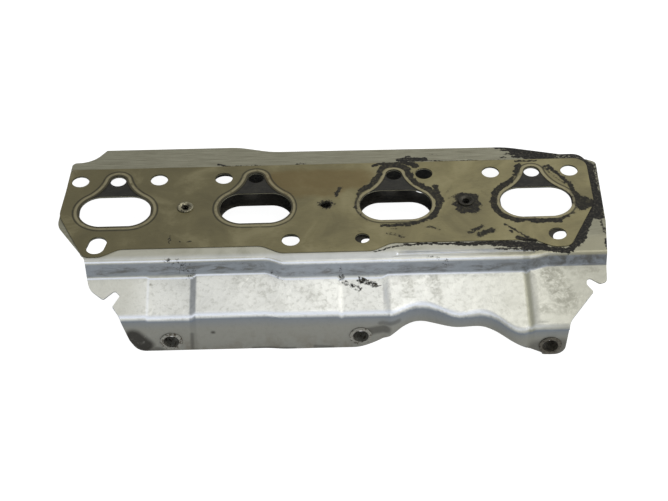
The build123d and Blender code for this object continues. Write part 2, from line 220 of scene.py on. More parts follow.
# Place on the gasket in millimetres
def makePlaceGroup():
    tree, source, sink = newGroup("gasketPlace", [], [("Place", "NodeSocketVector")])
    coordinates = putNode(tree, "ShaderNodeTexCoord")
    mapping = putNode(
        tree,
        "ShaderNodeMapping",
        {"vector_type": "TEXTURE"},
        {
            "Vector": coordinates.outputs["Object"],
            "Location": gasketOrigin,
            "Rotation": (-gasketTilt, 0, 0),
            "Scale": (0.001, 0.001, 0.001),
        },
    )
    tree.links.new(mapping.outputs["Vector"], sink.inputs["Place"])
    return tree


placeGroup = makePlaceGroup()

# Distance from the edge of the nearest teardrop opening, in millimetres
portSettings = {
    "pitch": 84.0,
    "halfWidth": 21.7,
    "halfHeight": 14.45,
    "corner": 14.2,
    "noseY": 28.3,
    "noseRadius": 5.0,
    "flankRadius": 30.0,
    "flankCentre": (34.268, 35.423),
}


def makePortGroup(settings):
    tree, source, sink = newGroup(
        "portDistance", [("Place", "NodeSocketVector")], [("Distance", "NodeSocketFloat")]
    )
    parts = putNode(tree, "ShaderNodeSeparateXYZ", inputs={0: source.outputs["Place"]})
    wrapped = calc(tree, "WRAP", parts.outputs[0], settings["pitch"], 0.0)
    x = calc(tree, "ABSOLUTE", minus(tree, wrapped, settings["pitch"] / 2))
    y = calc(tree, "ABSOLUTE", parts.outputs[1])
    sideX = minus(tree, x, settings["halfWidth"] - settings["corner"])
    sideY = minus(tree, y, settings["halfHeight"] - settings["corner"])
    outX = larger(tree, sideX, 0.0)
    outY = larger(tree, sideY, 0.0)
    outer = calc(tree, "SQRT", plus(tree, times(tree, outX, outX), times(tree, outY, outY)))
    inner = smaller(tree, larger(tree, sideX, sideY), 0.0)
    bodyGap = minus(tree, plus(tree, outer, inner), settings["corner"])
    noseY = minus(tree, parts.outputs[1], settings["noseY"])
    reach = calc(tree, "SQRT", plus(tree, times(tree, x, x), times(tree, noseY, noseY)))
    noseGap = minus(tree, reach, settings["noseRadius"])
    centreX, centreY = settings["flankCentre"]
    offset = putNode(tree, "ShaderNodeCombineXYZ", inputs={
        0: minus(tree, x, centreX),
        1: minus(tree, parts.outputs[1], centreY),
    }).outputs[0]
    flankGap = minus(tree, settings["flankRadius"], vectorCalc(tree, "LENGTH", offset))
    noseSide = (centreY - settings["noseY"], -centreX, 0)
    bodySide = (
        settings["halfHeight"] - settings["corner"] - centreY,
        centreX - settings["halfWidth"] + settings["corner"],
        0,
    )
    outside = 0.0
    for side in (noseSide, bodySide):
        beyond = calc(tree, "LESS_THAN", vectorCalc(tree, "DOT_PRODUCT", offset, side), 0.0)
        outside = larger(tree, outside, beyond)
    flank = plus(tree, flankGap, times(tree, outside, settings["pitch"]))
    joined = smaller(tree, smaller(tree, bodyGap, noseGap), flank)
    tree.links.new(joined, sink.inputs["Distance"])
    return tree


portGroup = makePortGroup(portSettings)


# Nearness to a short stroke on the gasket's plane, for soot and stains
def makeStrokeGroup():
    tree, source, sink = newGroup(
        "stroke",
        [
            ("Place", "NodeSocketVector"),
            ("Start", "NodeSocketVector"),
            ("Reach", "NodeSocketVector"),
            ("Width", "NodeSocketFloat"),
            ("Soft", "NodeSocketFloat"),
        ],
        [("Mask", "NodeSocketFloat")],
    )
    offset = vectorCalc(tree, "SUBTRACT", source.outputs["Place"], source.outputs["Start"])
    flat = stretched(tree, offset, 1, 1, 0)
    along = vectorCalc(tree, "DOT_PRODUCT", flat, source.outputs["Reach"])
    square = vectorCalc(tree, "DOT_PRODUCT", source.outputs["Reach"], source.outputs["Reach"])
    whole = larger(tree, square, 0.001)
    share = calc(tree, "DIVIDE", along, whole)
    clamped = smaller(tree, larger(tree, share, 0.0), 1.0)
    scaled = putNode(
        tree, "ShaderNodeVectorMath", {"operation": "SCALE"}, {0: source.outputs["Reach"], "Scale": clamped}
    ).outputs["Vector"]
    distance = vectorCalc(tree, "LENGTH", vectorCalc(tree, "SUBTRACT", flat, scaled))
    low = minus(tree, source.outputs["Width"], source.outputs["Soft"])
    high = plus(tree, source.outputs["Width"], source.outputs["Soft"])
    node = putNode(
        tree,
        "ShaderNodeMapRange",
        {"interpolation_type": "SMOOTHSTEP"},
        {"Value": distance, "From Min": low, "From Max": high, "To Min": 1.0, "To Max": 0.0},
    )
    tree.links.new(node.outputs["Result"], sink.inputs["Mask"])
    return tree


strokeGroup = makeStrokeGroup()

# A stroke's reach past its stated width, and the softness of its edge
strokeSettings = {"widthShare": 1.12, "softBase": 0.5, "softShare": 0.35}


def strokes(tree, place, rows):
    total = 0.0
    for startX, startY, endX, endY, width, strength in rows:
        mask = useGroup(tree, strokeGroup, {
            "Place": place,
            "Start": (startX, startY, 0),
            "Reach": (endX - startX, endY - startY, 0),
            "Width": width * strokeSettings["widthShare"],
            "Soft": strokeSettings["softBase"] + strokeSettings["softShare"] * width,
        }).outputs["Mask"]
        total = larger(tree, total, times(tree, mask, strength))
    return total


# Soot, burnt on round the right-hand ports and along the back edge
sootSettings = {
    "portThree": [
        (33, -19, 49, -19.5, 1.3, 0.85), (20, 12, 18.5, -3, 1.2, 0.7), (48, 40, 55, 36, 2.2, 0.95),
        (19, -5, 24, -14, 0.9, 0.5), (30, 38, 46, 39.5, 1.6, 0.9), (66, 16, 70, 2, 1.6, 0.8),
    ],
    "portFour": [
        (136, 33, 146, 19, 1.2, 0.9), (146, 19, 151, 4, 1.2, 0.9), (112, -16.5, 138, -18.5, 1.7, 1.0),
        (138, -18, 147, -12, 1.1, 0.6), (149, 4, 153, -6, 3.2, 1.0), (118, 38.5, 130, 38.5, 0.9, 0.7),
    ],
    "front": [
        (84, -28, 92, -22, 1.7, 0.62), (90, -30, 98, -26, 2.2, 0.72), (106, -21, 118, -33, 0.8, 0.7),
        (112, -33, 121, -36, 1.6, 0.85), (108, -27, 108.6, -28, 1.3, 0.8), (36, -26, 45, -30, 1.2, 0.5),
        (38, -22, 41, -23, 0.8, 0.5), (60, -21, 66, -24, 1.0, 0.5), (148, 2, 157, -3, 3.6, 1.0),
    ],
    "middle": [
        (8.5, 17, 6.5, 9, 1.1, 0.75), (0.2, 1.2, 0.3, 1.2, 4.6, 0.6), (-92, -23.5, -92, -31, 0.4, 0.75),
        (-86, -29.5, -85.8, -29.5, 0.6, 0.8), (-80.5, -30, -80.3, -30, 0.6, 0.8),
        (18, -24, 22, -25, 0.5, 0.5),
        (73, 10, 76, 17, 0.6, 0.4), (94, 10, 97, 6, 0.7, 0.45),
    ],
    "fold": [
        (-95, -44, -78, -48, 1.6, 0.4), (8, -53, 18, -60, 2.0, 0.5), (19, -54, 28, -57, 2.0, 0.62),
        (58, -47, 70, -50, 1.0, 0.4), (-32, -49, -29, -52, 0.8, 0.4),
    ],
    "blobs": [
        (81, 5, 88, 5, 3.6, 0.8), (81, -6.5, 88, -6.5, 3.6, 0.8), (80, -1, 89, -1, 4.0, 0.86),
        (74, 4, 78, 8, 0.8, 0.5),
    ],
}

# Soot on the plate's own rim and shelf
rimSettings = {
    "backStrip": [
        (46, 43, 61, 43, 2.0, 0.9), (50, 46, 53, 46, 0.9, 0.7), (62, 41, 112, 40.6, 0.5, 0.75),
        (106, 54, 120, 51, 1.8, 1.0), (110, 50, 122, 48.5, 1.4, 0.66), (112, 46, 124, 46, 0.9, 0.66),
        (118, 49, 138, 45.5, 3.6, 1.0), (136, 45, 160, 39.5, 2.8, 0.62),
        (124, 43, 140, 42, 2.0, 0.95), (140, 42, 160, 37, 1.8, 0.62), (117, 44, 128, 43, 1.1, 0.8),
        (108, 44, 112, 43, 0.8, 0.6), (-65, 42.5, -59, 40.5, 0.9, 0.8), (-59, 40.8, -40, 41.2, 0.5, 0.7),
        (-17, 42, -13, 42, 0.8, 0.5), (64, 48, 70, 47, 0.5, 0.5),
    ],
    "rightEdge": [
        (161.5, 34, 162.5, 6, 2.4, 1.0), (165.5, 34, 165.8, 10, 1.4, 0.55), (162.5, 6, 161, -14, 3.6, 1.0),
        (158, 0, 154, -4, 3.4, 1.0), (157, -10, 152, -24, 2.9, 1.0), (152, -24, 148, -36, 2.7, 1.0),
        (148, -36, 142, -43.5, 2.3, 1.0), (163.6, -36, 163.8, -44, 1.4, 1.0), (156, 39, 161, 34, 1.8, 0.9),
        (162, -12, 163.5, -30, 1.0, 0.6),
    ],
    "shelf": [
        (45, -36, 76, -36.4, 0.8, 0.8), (76, -36.6, 108, -37, 1.7, 0.85), (96, -38, 110, -39.5, 1.6, 0.66),
        (106, -38, 126, -40.5, 2.6, 0.95), (116, -42, 124, -43, 1.9, 0.8), (98, -41.5, 118, -42.5, 1.0, 0.6),
        (126, -42, 140, -44.5, 2.2, 0.95), (28, -41.5, 46, -36, 0.8, 0.6),
    ],
}

# Where the soot hugs a port's bead, and how far it reaches from the edge of the opening
ringSettings = {
    "near": 1.8,
    "nearSoft": 0.4,
    "far": 6.0,
    "farSoft": 0.8,
    "rows": [
        (22, 18, 32, 33, 5.5, 1.0), (32, 33, 44, 36, 5.5, 1.0), (44, 36, 56, 24, 6.0, 1.0),
        (56, 24, 68, 8, 6.0, 1.0), (68, 8, 64, -10, 5.5, 1.0), (64, -10, 52, -17, 3.0, 0.75),
        (104, -11, 100, 4, 6.0, 1.0), (100, 4, 108, 20, 6.0, 1.0), (108, 20, 116, 33, 4.5, 0.9),
        (104, -11, 114, -17, 3.5, 0.85), (136, 32, 146, 18, 3.0, 0.6),
    ],
}


# How soot wanders off its strokes, and how it is worn away
wearSettings = {
    "wanders": ((0.1, 5.0), (0.4, 3.0)),
    "wanderNoise": {"Detail": 5.0, "Roughness": 0.6},
    "speckleNoise": (0.55, 5.0, 0.75),
    "speckleReach": 1.7,
    "sootSpan": (0.38, 0.64),
    "hazeSpan": (0.08, 0.35),
}


def makeSootGroup(name, settings, ring=None):
    tree, source, sink = newGroup(
        name, [("Place", "NodeSocketVector")], [("Soot", "NodeSocketFloat"), ("Haze", "NodeSocketFloat")]
    )
    place = source.outputs["Place"]
    moved = place
    for scale, reach in wearSettings["wanders"]:
        wander = putNode(
            tree,
            "ShaderNodeTexNoise",
            inputs={"Vector": place, "Scale": scale, **wearSettings["wanderNoise"]},
        ).outputs["Color"]
        shake = putNode(
            tree,
            "ShaderNodeVectorMath",
            {"operation": "MULTIPLY_ADD"},
            {0: wander, 1: (reach, reach, 0), 2: (-reach / 2, -reach / 2, 0)},
        ).outputs["Vector"]
        moved = vectorCalc(tree, "ADD", moved, shake)
    rows = [row for group in settings.values() for row in group]
    total = strokes(tree, moved, rows)
    if ring:
        distance = useGroup(tree, portGroup, {"Place": moved}).outputs["Distance"]
        nearSide = rampUp(tree, distance, ring["near"] - ring["nearSoft"], ring["near"] + ring["nearSoft"])
        farSide = rampDown(tree, distance, ring["far"] - ring["farSoft"], ring["far"] + ring["farSoft"])
        hug = times(tree, nearSide, farSide)
        hug = times(tree, hug, strokes(tree, place, ring["rows"]))
        total = larger(tree, total, hug)
    speckle = noise(tree, place, *wearSettings["speckleNoise"])
    worn = times(tree, minus(tree, speckle, 0.5), wearSettings["speckleReach"])
    soot = rampUp(tree, plus(tree, total, worn), *wearSettings["sootSpan"])
    sharp = times(tree, soot, rampUp(tree, total, *wearSettings["hazeSpan"]))
    tree.links.new(sharp, sink.inputs["Soot"])
    tree.links.new(total, sink.inputs["Haze"])
    return tree


sootGroup = makeSootGroup("sootMask", sootSettings, ringSettings)
rimGroup = makeSootGroup("rimSoot", rimSettings)
print("node groups made")


def newMaterial(name):
    material = bpy.data.materials.new(name)
    material.use_nodes = True
    tree = material.node_tree
    shader = tree.nodes["Principled BSDF"]
    place = useGroup(tree, placeGroup).outputs["Place"]
    return material, tree, shader, place


def finishMaterial(tree, shader, colour, roughness, height, bumpStrength, metallic):
    tree.links.new(colour, shader.inputs["Base Color"])
    tree.links.new(roughness, shader.inputs["Roughness"])
    shader.inputs["Metallic"].default_value = metallic
    bump = putNode(
        tree, "ShaderNodeBump", inputs={"Strength": bumpStrength, "Distance": 0.0004, "Height": height}
    )
    tree.links.new(bump.outputs["Normal"], shader.inputs["Normal"])


def mixValue(tree, mask, first, second):
    change = times(tree, mask, minus(tree, second, first))
    return plus(tree, first, change)


# Colour of flaky soot wherever a piece is covered
crustSettings = {"noise": (0.7, 5.0, 0.7, 0.3), "paleSpan": (0.46, 0.72)}


def crusted(tree, place, covered, colour, settings):
    flaky = noise(tree, place, *crustSettings["noise"])
    pale = rampUp(tree, flaky, *crustSettings["paleSpan"])
    crust = blend(tree, pale, settings["soot"], settings["sootPale"])
    return blend(tree, covered, colour, crust)


# Upper layer: heat-tinted olive steel
olive = {
    "left": tint(107, 100, 70),
    "right": tint(134, 126, 89),
    "dark": tint(84, 78, 54),
    "pale": tint(160, 152, 116),
    "brown": tint(104, 85, 43),
    "soot": tint(34, 32, 26),
    "sootPale": tint(78, 73, 54),
    "line": tint(48, 45, 32),
    "rim": tint(150, 142, 112),
    "acrossSpan": (-110.0, 90.0),
    "cloudNoise": (0.035, 5.0, 0.6, 0.6),
    "darkCloud": (0.42, 0.72),
    "darkCloudShare": 0.5,
    "paleCloud": (0.3, 0.5),
    "paleCloudShare": 0.35,
    "grainStretch": (0.25, 1.6, 1.0),
    "grainNoise": (1.0, 4.0, 0.7),
    "darkGrain": (0.5, 0.75),
    "darkGrainShare": 0.3,
    "brownRows": [(-24, 30, 24, 30, 9.0, 0.8), (-14, 21, 10, 20, 6.0, 0.7), (40, 25, 60, 22, 4.0, 0.3)],
    "brownWander": {"Scale": 0.08, "Detail": 4.0},
    "brownReach": 10,
    "brownShare": 0.75,
    "wearNoise": (0.3, 3.0, 0.6),
    "setBack": 1.1,
    "setBackSpan": (-22.0, -16.0),
    "rimBand": (0.95, 0.75, 0.3),
    "rimWear": (0.25, 0.5),
    "rimShare": 0.7,
    "rimShield": 0.75,
    "lineBand": (2.6, 0.5, 0.3),
    "lineWear": (0.2, 0.45),
    "lineShare": 0.85,
    "insideSpan": (-0.1, 0.35),
    "insideShare": 0.7,
    "hazeShare": 0.25,
    "roughness": (0.34, 0.6, 0.85),
    "fineNoise": (2.2, 3.0, 0.6),
    "relief": (1.5, 0.35, 0.25),
    "bumpStrength": 0.35,
    "metallic": 0.35,
}


def makeOlive(settings):
    material, tree, shader, place = newMaterial("upperSteel")
    parts = putNode(tree, "ShaderNodeSeparateXYZ", inputs={0: place})
    across = rampUp(tree, parts.outputs[0], *settings["acrossSpan"])
    colour = blend(tree, across, settings["left"], settings["right"])
    cloud = noise(tree, place, *settings["cloudNoise"])
    darkCloud = rampUp(tree, cloud, *settings["darkCloud"])
    colour = blend(tree, times(tree, darkCloud, settings["darkCloudShare"]), colour, settings["dark"])
    paleCloud = rampDown(tree, cloud, *settings["paleCloud"])
    colour = blend(tree, times(tree, paleCloud, settings["paleCloudShare"]), colour, settings["pale"])
    grain = noise(tree, stretched(tree, place, *settings["grainStretch"]), *settings["grainNoise"])
    darkGrain = rampUp(tree, grain, *settings["darkGrain"])
    colour = blend(tree, times(tree, darkGrain, settings["darkGrainShare"]), colour, settings["dark"])
    wander = putNode(tree, "ShaderNodeTexNoise", inputs={"Vector": place, **settings["brownWander"]})
    reach = settings["brownReach"]
    ragged = vectorCalc(tree, "ADD", place, stretched(tree, wander.outputs["Color"], reach, reach, 0))
    brown = strokes(tree, ragged, settings["brownRows"])
    colour = blend(tree, times(tree, brown, settings["brownShare"]), colour, settings["brown"])
    distance = useGroup(tree, portGroup, {"Place": place}).outputs["Distance"]
    wear = noise(tree, place, *settings["wearNoise"])
    setBack = times(tree, rampDown(tree, parts.outputs[0], *settings["setBackSpan"]), settings["setBack"])
    edge = minus(tree, distance, setBack)
    rim = times(tree, band(tree, edge, *settings["rimBand"]), rampUp(tree, wear, *settings["rimWear"]))
    colour = blend(tree, times(tree, rim, settings["rimShare"]), colour, settings["rim"])
    line = times(tree, band(tree, edge, *settings["lineBand"]), rampUp(tree, wear, *settings["lineWear"]))
    inside = rampDown(tree, edge, *settings["insideSpan"])
    darkLine = times(tree, line, settings["lineShare"])
    dark = larger(tree, darkLine, times(tree, inside, settings["insideShare"]))
    colour = blend(tree, dark, colour, settings["line"])
    soot = useGroup(tree, sootGroup, {"Place": place})
    colour = blend(tree, times(tree, soot.outputs["Haze"], settings["hazeShare"]), colour, settings["line"])
    clear = minus(tree, 1.0, times(tree, rim, settings["rimShield"]))
    covered = times(tree, soot.outputs["Soot"], clear)
    colour = crusted(tree, place, covered, colour, settings)
    smooth, rough, sooty = settings["roughness"]
    roughness = mixValue(tree, covered, mixValue(tree, grain, smooth, rough), sooty)
    fine = noise(tree, place, *settings["fineNoise"])
    cloudHeight, fineHeight, sootHeight = settings["relief"]
    height = plus(tree, times(tree, cloud, cloudHeight), times(tree, fine, fineHeight))
    height = plus(tree, height, times(tree, covered, sootHeight))
    finishMaterial(tree, shader, colour, roughness, height, settings["bumpStrength"], settings["metallic"])
    return material


# Shield plate: aluminised steel, brushed on the flat, mottled on the pressed shield
plate = {
    "panel": tint(230, 230, 223),
    "panelDark": tint(172, 172, 162),
    "panelRight": tint(176, 175, 160),
    "panelLeft": tint(206, 205, 192),
    "strip": tint(152, 150, 130),
    "stripDark": tint(112, 108, 88),
    "shelf": tint(186, 184, 168),
    "shelfRight": tint(146, 142, 118),
    # The steep face's bluish grey is painted shade; its darker patches are stains, laid on most strongly
    # along the middle of the face as painted shade
    "band": tint(146, 154, 165),
    "bandDark": tint(74, 75, 78),
    "glint": tint(244, 248, 255),
    # Painted shade: the upright wall is given a darker grey than the panel, bluish at its top
    "wall": tint(138, 137, 127),
    "wallTop": tint(116, 126, 138),
    "smoke": tint(140, 139, 126),
    "stain": tint(104, 90, 66),
    # Painted shade colours for the dark step walls and for the groove's dark line
    "crease": tint(138, 137, 116),
    "step": tint(98, 104, 113),
    "soot": tint(30, 29, 26),
    "sootPale": tint(84, 80, 68),
    "smudge": tint(46, 43, 36),
    "cloudNoise": (0.05, 6.0, 0.62, 0.8),
    "mottleNoise": (0.35, 4.0, 0.65, 0.4),
    "brushedStretch": (0.05, 2.6, 1.0),
    "brushedNoise": (1.0, 5.0, 0.7),
    "drawnStretch": (0.07, 0.3, 0.3),
    "drawnNoise": (1.0, 6.0, 0.72, 0.5),
    "patchNoise": (0.16, 6.0, 0.6, 0.6),
    "streakStretch": (0.12, 0.12, 0.07),
    "streakNoise": (1.0, 4.0, 0.6),
    "speckNoise": (0.9, 3.0, 0.75),
    "foldSpan": (-50.0, -47.0),
    "shelfSpan": (-34.0, -30.0),
    "steepTop": (-2.2, -0.8),
    "steepFoot": (-10.5, -8.5),
    "steepRise": (0.72, 0.86),
    "steepMiddle": (-6.0, 2.6, 1.8),
    "wallRise": (0.15, 0.6),
    "wallStart": (-14.0, -12.0),
    "sootStart": (-16.0, -14.0),
    "spotSpan": (0.48, 0.68),
    "spotShare": 0.4,
    "cloudSpan": (0.52, 0.76),
    "cloudShare": 0.35,
    "rightSpan": (30.0, 150.0),
    "rightShare": 0.85,
    "endSpan": (118.0, 165.0),
    "endShare": 0.7,
    "leftSpan": (-120.0, -96.0),
    "leftShare": 0.7,
    "creaseBand": (115.4, 1.9, 1.0),
    "creaseShare": 0.75,
    "stepBand": (-78.0, 1.8, 0.7),
    "stepShare": 0.7,
    "litBand": (-104.2, 0.5, 0.9),
    "litShare": 0.5,
    "smokeSpan": (0.3, 0.62),
    "stripSpan": (0.35, 0.7),
    "shelfCloud": (0.45, 0.7),
    "shelfCloudShare": 0.6,
    # Painted shade line along the groove in front of the fold
    "grooveShadeBand": (-42.9, 1.1, 0.7),
    "grooveShadeLength": (82.0, 40.0, 6.0),
    "grooveShadeBreakup": (0.3, 0.62),
    "grooveShadeShare": 0.85,
    "shelfRightSpan": (70.0, 132.0),
    "shelfRightShare": 0.85,
    "drawnSpan": (0.42, 0.66),
    "drawnShare": (0.25, 0.95),
    "patchSpan": (0.35, 0.68),
    "patchReach": (80.0, 130.0),
    "patchShare": 0.9,
    "steepShadeShare": 0.8,
    "glowReach": (-44.5, -39.5),
    "glowRise": (0.95, 0.99),
    "glowHeight": (-2.0, -1.0),
    "glowShare": 0.4,
    "glowFade": (40.0, 110.0),
    "bendHighlightBand": (0.74, 0.12, 0.12),
    "bendHighlightReach": (-44.0, -42.0),
    "bendHighlightFade": (60.0, 150.0),
    "wallTopRise": (0.0, 0.3),
    "upperWallShadeSpan": (-27.0, -17.0),
    "upperWallShadeShare": 0.75,
    "wallShare": 0.92,
    "lowWallSpan": (-44.0, -26.0),
    "streakSpan": (0.4, 0.7),
    "smudgeSpan": (0.12, 0.42),
    "speckSpan": (0.66, 0.72),
    "dirtSpan": (0.48, 0.6),
    "lowWallShare": 0.5,
    "dirtShare": 0.7,
    "roughness": (0.38, 0.58, 0.85),
    "relief": (3.0, 0.5, 0.25),
    "bumpStrength": 0.4,
    "metallic": 0.4,
    "panelStains": [
        (130, -56, 137, -72, 6.5, 0.9), (150, -52, 158, -53, 1.6, 0.9), (122, -78, 136, -80, 3.0, 0.5),
        (46, -54, 47, -66, 3.2, 0.4), (61, -53, 62, -64, 3.0, 0.4), (78, -52, 100, -53, 2.0, 0.3),
        (-50, -52, -35, -60, 5.0, 0.25), (-12, -60, -4, -70, 4.0, 0.25), (140, -50, 148, -56, 3.0, 0.45),
        (-103, -52.5, -102.4, -53, 0.8, 0.9), (60, -74, 64, -70, 3.0, 0.25),
    ],
    "wallStains": [
        (-113, -31, -107, -38, 4.8, 0.95), (-104, -41, -98, -42, 1.8, 0.5), (-79, -30, -79.5, -41, 1.0, 0.45),
        (-67, -29, -66.6, -29, 0.9, 0.8), (-44, -42.3, -20, -42.3, 0.8, 0.6), (-8, -41, 2, -42, 0.9, 0.5),
        (24, -30, 33, -28, 2.6, 0.6), (30, -24, 40, -22, 1.4, 0.4), (120, -34, 133, -33, 6.0, 0.5),
    ],
}


def makePlate(settings):
    material, tree, shader, place = newMaterial("shieldSteel")
    parts = putNode(tree, "ShaderNodeSeparateXYZ", inputs={0: place})
    x, y, z = parts.outputs
    facing = putNode(tree, "ShaderNodeTexCoord").outputs["Normal"]
    rise = vectorCalc(tree, "DOT_PRODUCT", facing, tuple(gasketAxis))
    cloud = noise(tree, place, *settings["cloudNoise"])
    mottle = noise(tree, place, *settings["mottleNoise"])
    spots = times(tree, rampUp(tree, mottle, *settings["spotSpan"]), settings["spotShare"])
    panel = blend(tree, spots, settings["panel"], settings["panelDark"])
    clouds = times(tree, rampUp(tree, cloud, *settings["cloudSpan"]), settings["cloudShare"])
    panel = blend(tree, clouds, panel, settings["panelDark"])
    rightPart = times(tree, rampUp(tree, x, *settings["rightSpan"]), settings["rightShare"])
    panel = blend(tree, rightPart, panel, settings["panelRight"])
    rightEnd = times(tree, rampUp(tree, x, *settings["endSpan"]), settings["endShare"])
    panel = blend(tree, rightEnd, panel, settings["smoke"])
    leftEnd = times(tree, rampDown(tree, x, *settings["leftSpan"]), settings["leftShare"])
    panel = blend(tree, leftEnd, panel, settings["panelLeft"])
    # Painted shade on the step walls at X 115.4 and X -78, and a painted highlight on the lit step wall at X
    # -104.2
    crease = band(tree, x, *settings["creaseBand"])
    panel = blend(tree, times(tree, crease, settings["creaseShare"]), panel, settings["crease"])
    step = band(tree, x, *settings["stepBand"])
    panel = blend(tree, times(tree, step, settings["stepShare"]), panel, settings["step"])
    lit = times(tree, band(tree, x, *settings["litBand"]), settings["litShare"])
    panel = blend(tree, lit, panel, settings["glint"])
    smoke = strokes(tree, place, settings["panelStains"])
    smoke = times(tree, smoke, rampUp(tree, mottle, *settings["smokeSpan"]))
    panel = blend(tree, smoke, panel, settings["smoke"])
    brushed = noise(tree, stretched(tree, place, *settings["brushedStretch"]), *settings["brushedNoise"])
    strip = rampUp(tree, brushed, *settings["stripSpan"])
    strip = blend(tree, strip, settings["strip"], settings["stripDark"])
    shelf = times(tree, rampUp(tree, cloud, *settings["shelfCloud"]), settings["shelfCloudShare"])
    shelf = blend(tree, shelf, settings["shelf"], settings["strip"])
    # Painted shade: a dark line along the groove in front of the fold, broken up by the brushed noise
    grooveShade = times(tree, band(tree, y, *settings["grooveShadeBand"]), band(tree, x, *settings["grooveShadeLength"]))
    grooveShade = times(tree, grooveShade, rampUp(tree, brushed, *settings["grooveShadeBreakup"]))
    shelfRight = times(tree, rampUp(tree, x, *settings["shelfRightSpan"]), settings["shelfRightShare"])
    shelf = blend(tree, shelfRight, shelf, settings["shelfRight"])
    shelf = blend(tree, times(tree, grooveShade, settings["grooveShadeShare"]), shelf, settings["step"])
    flat = blend(tree, rampUp(tree, y, *settings["shelfSpan"]), shelf, strip)
    # Painted shade: the steep face between fold and panel takes the bluish grey, with its stains darkest
    # along the middle
    steepShade = times(tree, rampDown(tree, z, *settings["steepTop"]), rampUp(tree, z, *settings["steepFoot"]))
    drawn = noise(tree, stretched(tree, place, *settings["drawnStretch"]), *settings["drawnNoise"])
    middle = band(tree, z, *settings["steepMiddle"])
    bandStainAndShade = rampUp(tree, drawn, *settings["drawnSpan"])
    bandStainAndShade = times(tree, bandStainAndShade, mixValue(tree, middle, *settings["drawnShare"]))
    patches = noise(tree, place, *settings["patchNoise"])
    rightStain = rampUp(tree, patches, *settings["patchSpan"])
    rightStain = times(tree, rightStain, rampUp(tree, x, *settings["patchReach"]))
    bandStainAndShade = larger(tree, bandStainAndShade, times(tree, rightStain, settings["patchShare"]))
    steepShadeColour = blend(tree, bandStainAndShade, settings["band"], settings["bandDark"])
    colour = blend(tree, rampDown(tree, y, *settings["foldSpan"]), flat, panel)
    steepShade = times(tree, steepShade, rampDown(tree, rise, *settings["steepRise"]))
    colour = blend(tree, times(tree, steepShade, settings["steepShadeShare"]), colour, steepShadeColour)
    # Painted highlight along the edge of the flat where it meets the fold
    edgeGlow = rampDown(tree, y, *settings["glowReach"])
    edgeGlow = times(tree, edgeGlow, rampUp(tree, rise, *settings["glowRise"]))
    edgeGlow = times(tree, edgeGlow, rampUp(tree, z, *settings["glowHeight"]))
    edgeGlow = times(tree, edgeGlow, settings["glowShare"])
    edgeGlow = times(tree, edgeGlow, rampDown(tree, x, *settings["glowFade"]))
    colour = blend(tree, edgeGlow, colour, settings["glint"])
    # Painted highlight on the rounded bends in front of the fold, fading out towards the right
    bendHighlight = times(tree, band(tree, rise, *settings["bendHighlightBand"]), rampDown(tree, y, *settings["bendHighlightReach"]))
    bendHighlight = times(tree, bendHighlight, rampDown(tree, x, *settings["bendHighlightFade"]))
    colour = blend(tree, bendHighlight, colour, settings["glint"])
    # Painted shade: the upright wall, found by its facing, is darker than the panel and bluish towards its
    # top; the wall smudges are kept to this area too
    wall = rampDown(tree, rise, *settings["wallRise"])
    wall = times(tree, wall, rampDown(tree, z, *settings["wallStart"]))
    wallTop = rampDown(tree, rise, *settings["wallTopRise"])
    wallColour = blend(tree, wallTop, settings["wallTop"], settings["wall"])
    upperWallShade = times(tree, rampUp(tree, z, *settings["upperWallShadeSpan"]), settings["upperWallShadeShare"])
    wallColour = blend(tree, upperWallShade, wallColour, settings["wallTop"])
    colour = blend(tree, times(tree, wall, settings["wallShare"]), colour, wallColour)
    streak = noise(tree, stretched(tree, place, *settings["streakStretch"]), *settings["streakNoise"])
    lowWall = rampDown(tree, z, *settings["lowWallSpan"])
    lowWall = times(tree, lowWall, rampUp(tree, streak, *settings["streakSpan"]))
    upright = putNode(tree, "ShaderNodeCombineXYZ", inputs={0: x, 1: z}).outputs[0]
    smudge = strokes(tree, upright, settings["wallStains"])
    smudge = times(tree, smudge, rampUp(tree, mottle, *settings["smudgeSpan"]))
    speck = rampUp(tree, noise(tree, place, *settings["speckNoise"]), *settings["speckSpan"])
    dirt = times(tree, speck, rampUp(tree, cloud, *settings["dirtSpan"]))
    stain = times(tree, lowWall, settings["lowWallShare"])
    stain = larger(tree, stain, times(tree, dirt, settings["dirtShare"]))
    colour = blend(tree, stain, colour, settings["stain"])
    colour = blend(tree, times(tree, smudge, wall), colour, settings["smudge"])
    soot = [useGroup(tree, group, {"Place": place}).outputs["Soot"] for group in (sootGroup, rimGroup)]
    onTop = rampUp(tree, z, *settings["sootStart"])
    covered = times(tree, larger(tree, *soot), onTop)
    colour = crusted(tree, place, covered, colour, settings)
    smooth, rough, sooty = settings["roughness"]
    roughness = mixValue(tree, covered, mixValue(tree, mottle, smooth, rough), sooty)
    cloudHeight, mottleHeight, sootHeight = settings["relief"]
    height = plus(tree, times(tree, cloud, cloudHeight), times(tree, mottle, mottleHeight))
    height = plus(tree, height, times(tree, covered, sootHeight))
    finishMaterial(tree, shader, colour, roughness, height, settings["bumpStrength"], settings["metallic"])
    return material


# Spacer and lower layer: dark, sooty sheets
darkSheets = {
    "spacer": {"base": tint(38, 36, 29), "pale": tint(66, 63, 50), "soot": tint(24, 23, 19)},
    "lower": {"base": tint(44, 41, 33), "pale": tint(84, 80, 66), "soot": tint(20, 19, 16)},
}
darkLook = {
    "cloudNoise": (0.09, 5.0, 0.65, 0.5),
    "cloudSpan": (0.45, 0.68),
    "grainStretch": (0.2, 1.4, 1.4),
    "grainNoise": (1.0, 4.0, 0.7),
    "grainSpan": (0.52, 0.72),
    "grainShare": 0.55,
    "grainHeight": 0.4,
    "roughness": (0.4, 0.75),
    "bumpStrength": 0.35,
    "metallic": 0.3,
}


